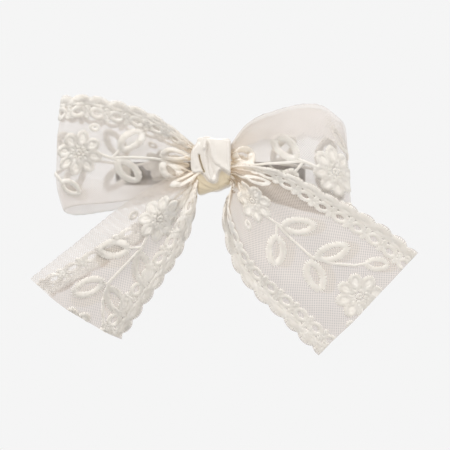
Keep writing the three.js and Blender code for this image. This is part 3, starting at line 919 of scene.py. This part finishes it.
def flap_width(flap, along):
    """The width of a flap, which goes from its first width at the knot to its second at the cut."""
    return flap[0] + (flap[1] - flap[0]) * along


def tail_place(base, flap, pleats):
    """Where the threads of a tail's flat ribbon go. Its high side is folded over to the back."""
    length, along_at = even_steps(base)

    def place(u, w):
        along = along_at(w)
        share, past_low, past_high = creased(u, 0, flap_width(flap, along))
        behind = 0.0010 * (ease(past_low, 0, 0.0018) + ease(past_high, 0, 0.0018))
        return laid_out(base, share, along, pleats(u, w, along) - behind)

    return length, place


left_tail_base = tail_base(
    -1,
    rail(
        (-3.9, -5), (-5.6, -8.4), (-5.2, -13.4), (-5.9, -20), (-8.1, -27.3), (-11.8, -35.8),
        (-16, -42.3), (-21, -49.5), (-26, -56.5), (-31, -63.8), (-36.5, -71),
    ),
    rail((-3.9, 1.5), (-9, -1.0), (-20, -4.6), (-37.4, -15.5), (-56, -30.6), (-75.2, -45.5)),
    0.0022,
    0.0045,
)


left_tail_folds = (
    (-0.024, 0.004, 0.0014, 0.60),
    (-0.018, 0.005, -0.0020, 0.60),
    (-0.009, 0.007, 0.0020, 0.80),
    (0.000, 0.005, -0.0018, 0.60),
    (0.022, 0.006, 0.0012, 0.50),
)
left_flap = 0.0285, 0.0135
left_tail_length, left_tail_spot = tail_place(left_tail_base, left_flap, tail_pleats(left_tail_folds, 7))
left_tail_vine = 0.0252, 1, -1, -0.0108
left_tail = tulle_sheet(
    "left_tail_tulle",
    left_tail_spot,
    left_tail_length,
    left_tail_vine,
    1,
    lambda u, w: doubled(u, 0, flap_width(left_flap, w / left_tail_length)),
)
left_tail_lace = embroider("left_tail_embroidery", left_tail_spot, left_tail_length, left_tail_vine, 13)
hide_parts("left_tail")
for part in (left_tail, left_tail_lace):
    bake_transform(part)

# ---- Right tail ---------------------------------------------------------------------------------
# The right tail leaves the knot in front of the right loop and opens out to its full width, with
# both scalloped borders, a flower by the knot, two pairs of leaves and a second flower by the cut.
right_tail_base = tail_base(
    1,
    rail(
        (8.1, -5), (10.0, -7.2), (7.6, -12.6), (5.4, -19.6), (6.1, -27), (8.2, -36), (12.4, -44.8),
        (20.5, -54.2), (30, -62.8), (38, -71), (46, -77.8),
    ),
    rail(
        (8.1, 1.5), (15, 2.2), (26.5, 0.8), (39, -3.6), (50, -9.6), (58.8, -14.2), (66, -18.4),
        (73.3, -23), (81.3, -28.8), (87.6, -34.8),
    ),
    0.0004,
    0.0045,
)


right_tail_folds = (
    (-0.025, 0.004, 0.0018, 0.62),
    (-0.0175, 0.005, -0.0026, 0.55),
    (0.000, 0.009, 0.0020, 0.50),
    (0.012, 0.006, -0.0028, 0.55),
    (0.022, 0.006, 0.0020, 0.70),
)
right_tail_length, right_tail_spot = tail_place(right_tail_base, (0, 0), tail_pleats(right_tail_folds, 9))
right_tail_vine = 0.0155, 1, 1, 0
right_tail = tulle_sheet(
    "right_tail_tulle", right_tail_spot, right_tail_length, right_tail_vine, 1, lambda u, w: 0 * u
)
right_tail_lace = embroider(
    "right_tail_embroidery", right_tail_spot, right_tail_length, right_tail_vine, 14
)
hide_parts("right_tail")
for part in (right_tail, right_tail_lace):
    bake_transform(part)

# ---- Gathered middle and its thread -------------------------------------------------------------
# Between the loops and the tails the four stretches of ribbon are pinched into one pleated bundle.
# A waxed two-ply thread is wound round it six times and pulled tight.
middle_low, middle_high = (Vector(corner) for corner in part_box("gathered_middle"))
thread_low, thread_high = (Vector(corner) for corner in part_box("gathering_thread"))


def bundle(x, turn, grow=0.0):
    """A point on the outline of the pinched ribbons at x, a share turn of the way round."""
    heart = (middle_low + middle_high) / 2
    size = (middle_high - middle_low) / 2
    nip = 1 - 0.1 * np.exp(-(((x - (thread_low.x + thread_high.x) / 2) / 0.0016) ** 2))
    pleat = 1 - 0.16 * np.abs(np.sin(17 * math.pi * turn + 60 * x)) * (1 if grow == 0 else 0)
    y = heart.y + (size.y * nip * pleat + grow) * np.cos(2 * math.pi * turn)
    z = heart.z + (size.z * nip * pleat + grow) * np.sin(2 * math.pi * turn)
    return np.stack([x, y, z], -1)


middle_reach = 0.0013
middle_ends = middle_low.x - middle_reach, middle_high.x + middle_reach
turns, slices = np.meshgrid(np.linspace(0, 1, 341), np.linspace(*middle_ends, 30))
middle_mesh = sheet_mesh(
    "gathered_net", lambda u, w: bundle(slices, turns), turns * 2 * ribbon_half, slices
)
mark(middle_mesh, "double", np.ones(turns.size))
middle_mesh.materials.append(ivory_tulle)
gathered_net = placed("gathered_net", middle_mesh)
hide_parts("gathered_middle")
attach(gathered_net, "bow")

windings, ply_radius, ply_twists = 6, 0.00022, 30
wound = np.linspace(0, windings, windings * 60)
wound_x = thread_low.x + ply_radius * 2 + (thread_high.x - thread_low.x - 4 * ply_radius) * wound / windings
core = bundle(wound_x, wound, 0.0003)
plies = []
for start in (0, math.pi):
    twist = start + wound * 2 * math.pi * ply_twists
    around = (bundle(wound_x, wound, 0.0013) - core) * 1000
    plies.append(core + ply_radius * (np.cos(twist)[:, None] * around + np.outer(np.sin(twist), (1, 0, 0))))
thread_curve = bpy.data.curves.new("gathering_thread_ply", "CURVE")
thread_curve.dimensions = "3D"
thread_curve.bevel_depth = ply_radius
thread_curve.bevel_resolution = 2
for ply in plies:
    spline = thread_curve.splines.new("POLY")
    spline.points.add(len(ply) - 1)
    spline.points.foreach_set("co", np.c_[ply, np.ones(len(ply))].ravel())
thread_shape = placed("thread_shape", thread_curve)
thread_mesh = final_mesh(thread_shape)
bpy.data.objects.remove(thread_shape)
thread_mesh.materials.append(cream_stitching)
wound_thread = placed("wound_thread", thread_mesh)
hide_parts("gathering_thread")
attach(wound_thread, "bow")

# ---- Satin knot ---------------------------------------------------------------------------------
# A strip of cream satin is wrapped once round the gathered middle, with a twist at the front that
# throws it into soft folds, and its ends are glued together behind.
knot_round = 5.0
knot_left, knot_right = knot_low.x, knot_high.x
knot_puff = 0.0028
knot_flat_width = 0.020


def beside(x, z, *points):
    """The distance from a smooth line through points in millimetres, positive on its left."""
    line = rail(*points)(np.linspace(0, 1, 40))
    best, side = np.full(x.shape, 1.0), np.zeros(x.shape)
    for (ax, az), (bx, bz) in zip(line[:-1], line[1:]):
        dx, dz = bx - ax, bz - az
        t = np.clip(((x - ax) * dx + (z - az) * dz) / (dx * dx + dz * dz), 0, 1)
        away = np.hypot(x - ax - t * dx, z - az - t * dz)
        nearer = away < best
        best = np.where(nearer, away, best)
        side = np.where(nearer, np.sign(dx * (z - az) - dz * (x - ax)), side)
    return best * side


def ridge(away, height, left, right):
    """A fold of that height, with the width of its slope on each side."""
    return height * np.exp(-((away / np.where(away > 0, left, right)) ** 2))


def knot_step(x, z):
    """The distance inside the edge of the twisted upper layer."""
    return beside(
        x, z, (-9, -0.6), (-5.5, -1.3), (-3.3, -1.0), (-1.4, -2.7), (-0.2, -4.2), (1.6, -5.1),
        (2.9, -4.9), (3.4, -3.4), (3.9, -1.2), (5.2, 0.2), (7.4, -0.9), (10, -2.8),
    )


def knot_slit(x, z):
    """The distance from the deep fold to the left of the twist."""
    return beside(x, z, (-4.0, 6.0), (-3.7, 4.4), (-2.8, 1.4), (-1.9, -0.8))


def knot_folds(x, z):
    """How far the satin stands out at the front of the knot."""
    edge = knot_step(x, z)
    rise = 0.0013 * ease(edge, -0.0001, 0.0005) + ridge(edge - 0.0006, 0.0003, 0.0007, 0.0004)
    rise = rise - 0.0014 * ease(-edge, 0.0004, 0.0060) * ease(x, -0.001, 0.008)
    fade = ease(knot_high.z - z, 0.0016, 0.0050)
    first = beside(x, z, (-1.2, 13.4), (-1.5, 10.4), (-1.9, 6.6), (-1.1, 2.6), (-0.6, -1.2), (0.4, -3.6))
    hollow = beside(x, z, (-0.5, 9.6), (-0.6, 8.2), (-0.2, 6.0), (0.4, 3.4), (1.3, 0.6), (2.2, -1.8))
    over = beside(
        x, z, (-1.9, 9.2), (-1.7, 10.8), (-0.9, 11.6), (0.1, 11.1), (0.8, 9.4), (1.1, 7.2), (1.6, 5.2),
        (2.9, 3.2), (4.8, 1.9), (6.9, 0.6), (9.6, -1.2),
    )
    tip = np.hypot((x - 0.0021) / 1.5, z - bow_lift + 0.0040)
    rise = rise + fade * ridge(first, 0.0011, 0.0005, 0.0007)
    rise = rise - ridge(knot_slit(x, z), 0.0020, 0.0004, 0.0006)
    rise = rise - ridge(hollow, 0.0005, 0.0007, 0.0007) + ridge(over, 0.0011, 0.0013, 0.0005)
    rise = rise + 0.0006 * np.exp(-((tip / 0.0008) ** 2))
    crease = beside(x, z, (-6.6, 9), (-6.2, 5), (-5.2, 1.5))
    third = beside(x, z, (7.9, 14), (7.7, 9), (7.7, 5), (8.0, 1.6))
    rise = rise + ridge(crease, 0.0005, 0.0005, 0.0009) + ridge(third, 0.0003, 0.0008, 0.0002)
    low_crease = beside(x, z, (-4.5, -3.5), (-1.5, -6.0), (2.5, -7.2), (7, -5.6))
    low_second = beside(x, z, (-4.5, -7.0), (-0.5, -8.2), (4, -7.9))
    rise = rise + ridge(low_crease, 0.0005, 0.0009, 0.0004) + ridge(low_second, 0.0003, 0.0008, 0.0004)
    rim = beside(x, z, (-6, 11.7), (-1, 11.9), (3, 12.1), (9.5, 11.5))
    return rise - ridge(rim, 0.0005, 0.00022, 0.00030)


def knot_place(across, turn):
    """A point of the satin: across its width from 0 to 1, and a turn round the gathered middle."""
    angle = 2 * math.pi * turn
    front = ease(-np.cos(angle), -0.1, 0.5)
    z_share = np.sign(np.sin(angle)) * np.abs(np.sin(angle)) ** (2 / knot_round)
    y_share = np.sign(np.cos(angle)) * np.abs(np.cos(angle)) ** (2 / knot_round)
    puff = knot_puff * front * np.exp(-(((z_share - 0.22) / 0.55) ** 4))
    x = knot_left - puff + (knot_right - knot_left + puff) * across
    slope = np.clip((x - knot_left) / (knot_right - knot_left), 0, 1)
    top = knot_high.z - 0.0002 - 0.0007 * slope
    bottom = knot_low.z - 0.0006 + 0.0030 * slope**1.3
    z = (top + bottom) / 2 + (top - bottom) / 2 * z_share
    near, far = knot_low.y + 0.0012, knot_high.y - 0.0008
    y = (near + far) / 2 + (far - near) / 2 * y_share
    roll = np.clip((np.abs(2 * across - 1) - 0.86) / 0.14, 0, 1)
    inward = 0.0012 * (1 - np.sqrt(1 - roll**2 * 0.98))
    ripple = 0.0003 * np.sin(900 * x + 2 * np.sin(angle)) * (1 - front)
    outward = front * knot_folds(x, z) + ripple - inward
    y = y + outward * np.clip(1.3 * np.cos(angle), -1, 1)
    return np.stack([x, y, z + outward * np.sin(angle) ** 3], -1)


even = np.linspace(0, 1, 2000)
loop_run = run_along(knot_place(np.full(even.shape, 0.5), even))
turn_at = np.interp(np.linspace(0, loop_run[-1], 420), loop_run, even)
across_at = 0.5 - 0.5 * np.cos(np.linspace(0.12, math.pi - 0.12, 110))
across_at = (across_at - across_at[0]) / (across_at[-1] - across_at[0])
knot_across, knot_turn = np.meshgrid(across_at, turn_at)
satin_mesh = sheet_mesh(
    "knot_satin",
    lambda u, w: knot_place(knot_across, knot_turn),
    knot_across * knot_flat_width,
    knot_turn * loop_run[-1],
)
satin_places = knot_place(knot_across, knot_turn)
# Painted shade: the layer under the twist and the deep slit are marked for a darker, warmer satin tone.
painted_under_shade = ease(-knot_step(satin_places[..., 0], satin_places[..., 2]), 0, 0.0012)
slit_away = np.abs(knot_slit(satin_places[..., 0], satin_places[..., 2]))
painted_under_shade = np.maximum(painted_under_shade, 1.3 * ease(0.0008 - slit_away, 0, 0.0006))
painted_under_shade = painted_under_shade * ease(-satin_places[..., 1], -knot_low.y - 0.006, -knot_low.y - 0.003)
mark(satin_mesh, "under", painted_under_shade)


def satin():
    """Cream satin: smooth, glossy along the folds, with very fine warp lines. The layer under the
    twist and the slit beside it are painted a darker, warmer tone for the shade that falls there."""
    material, tree, cloth = new_material("cream_satin", Specular_IOR_Level=0.6, Sheen_Weight=0.1)
    cloud = clouds(tree, 220.0, 2.0)
    tone = between(tree, cloud, (0.71, 0.665, 0.61), (0.79, 0.75, 0.70))
    # Painted shade under the twist and in the slit.
    deep = between(tree, marked(tree, "under"), tone, (0.65, 0.555, 0.40))
    tree.links.new(deep, cloth.inputs["Base Color"])
    glossy(tree, cloth, cloud, 0.0, 1.0, 0.24, 0.34)
    flat = wire(tree, "ShaderNodeUVMap", uv_map="flat")
    warp = wire(tree, "ShaderNodeMapping", flat.outputs["UV"])
    warp.inputs["Scale"].default_value = (9000, 600, 1)
    yarn = wire(tree, "ShaderNodeTexNoise", warp.outputs["Vector"], None, 1.0, 1.0)
    raised(tree, cloth, yarn.outputs["Fac"], 0.12, 0.0001)
    return material


satin_mesh.materials.append(satin())
knot_satin = placed("knot_satin", satin_mesh)
modifier(knot_satin, "glued_ends", "WELD", merge_threshold=0.00002)
modifier(knot_satin, "thickness", "SOLIDIFY", thickness=0.0003, offset=-1)
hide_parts("satin_knot")
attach(knot_satin, "bow")

# ---- Glue pads ----------------------------------------------------------------------------------
# Two pads of hot-melt glue hold the loops' back layers on the clip plate. The glue is milky and
# has run out a little and rounded off before it set.
def hot_glue():
    """Milky hot-melt glue with a waxy gloss."""
    material, tree, wax = new_material(
        "milky_glue",
        Subsurface_Weight=0.4,
        Subsurface_Radius=(0.002, 0.0018, 0.0014),
        Subsurface_Scale=1.0,
    )
    cloud = clouds(tree, 500.0, 3.0)
    tone = between(tree, cloud, (0.80, 0.77, 0.68), (0.90, 0.88, 0.82))
    tree.links.new(tone, wax.inputs["Base Color"])
    glossy(tree, wax, cloud, 0.0, 1.0, 0.25, 0.5)
    raised(tree, wax, cloud, 0.4, 0.0005)
    return material


milky_glue = hot_glue()
for side in ("left", "right"):
    pad = placed(f"glue_{side}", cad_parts[f"glue_pad_{side}"].data.copy())
    modifier(pad, "join", "WELD", merge_threshold=0.00001)
    modifier(pad, "melt", "REMESH", mode="VOXEL", voxel_size=0.0003)
    modifier(pad, "settle", "SMOOTH", iterations=6)
    blob = final_mesh(pad)
    pad.modifiers.clear()
    pad.data = blob
    blob.materials.clear()
    blob.materials.append(milky_glue)
    blob.shade_smooth()
    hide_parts(f"glue_pad_{side}")
    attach(pad, "bow")

# ---- Steel clip ---------------------------------------------------------------------------------
# The barrette clip is stamped from sheet steel with a dark electroplated finish, brushed along its
# length and rubbed brighter in patches. The leaf and the prongs are of bare tempered spring steel.
def rub_group():
    """Fine scratches along the clip, and patches where hair has rubbed the finish."""
    tree, given, put = group(
        "rubbed_steel",
        {"Scratch": 900.0, "Patch": 90.0},
        {"Scratches": "NodeSocketFloat", "Worn": "NodeSocketFloat"},
    )
    spot = wire(tree, "ShaderNodeTexCoord")
    along = wire(tree, "ShaderNodeMapping", spot.outputs["Object"])
    along.inputs["Scale"].default_value = (0.05, 1, 1)
    fine = wire(tree, "ShaderNodeTexNoise", along.outputs["Vector"], None, given.outputs["Scratch"], 3.0)
    patch = wire(tree, "ShaderNodeTexNoise", spot.outputs["Object"], None, given.outputs["Patch"], 4.0)
    tree.links.new(fine.outputs["Fac"], put.inputs["Scratches"])
    tree.links.new(mapped(tree, patch.outputs["Fac"], 0.52, 0.72, 0.0, 1.0), put.inputs["Worn"])
    return tree


rubbed_steel = rub_group()


def steel(name, fresh, worn, scratch, patch, smooth, rough):
    """A metal finish that turns from fresh to worn where it has been rubbed."""
    material, tree, metal = new_material(name, Metallic=1.0)
    marks = wire(tree, "ShaderNodeGroup", scratch, patch, node_tree=rubbed_steel)
    tree.links.new(between(tree, marks.outputs["Worn"], fresh, worn), metal.inputs["Base Color"])
    glossy(tree, metal, marks.outputs["Scratches"], 0.3, 0.7, smooth, rough)
    raised(tree, metal, marks.outputs["Scratches"], 0.15, 0.0001)
    return material


dark_steel = steel("dark_plated_steel", (0.035, 0.03, 0.028), (0.11, 0.10, 0.095), 900.0, 90.0, 0.28, 0.46)
spring_steel = steel("spring_steel", (0.20, 0.19, 0.185), (0.36, 0.35, 0.34), 1300.0, 140.0, 0.22, 0.4)
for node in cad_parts.values():
    for place in node.material_slots:
        if place.material and "spring" in place.material.name:
            place.material = spring_steel
        elif place.material and "dark" in place.material.name:
            place.material = dark_steel
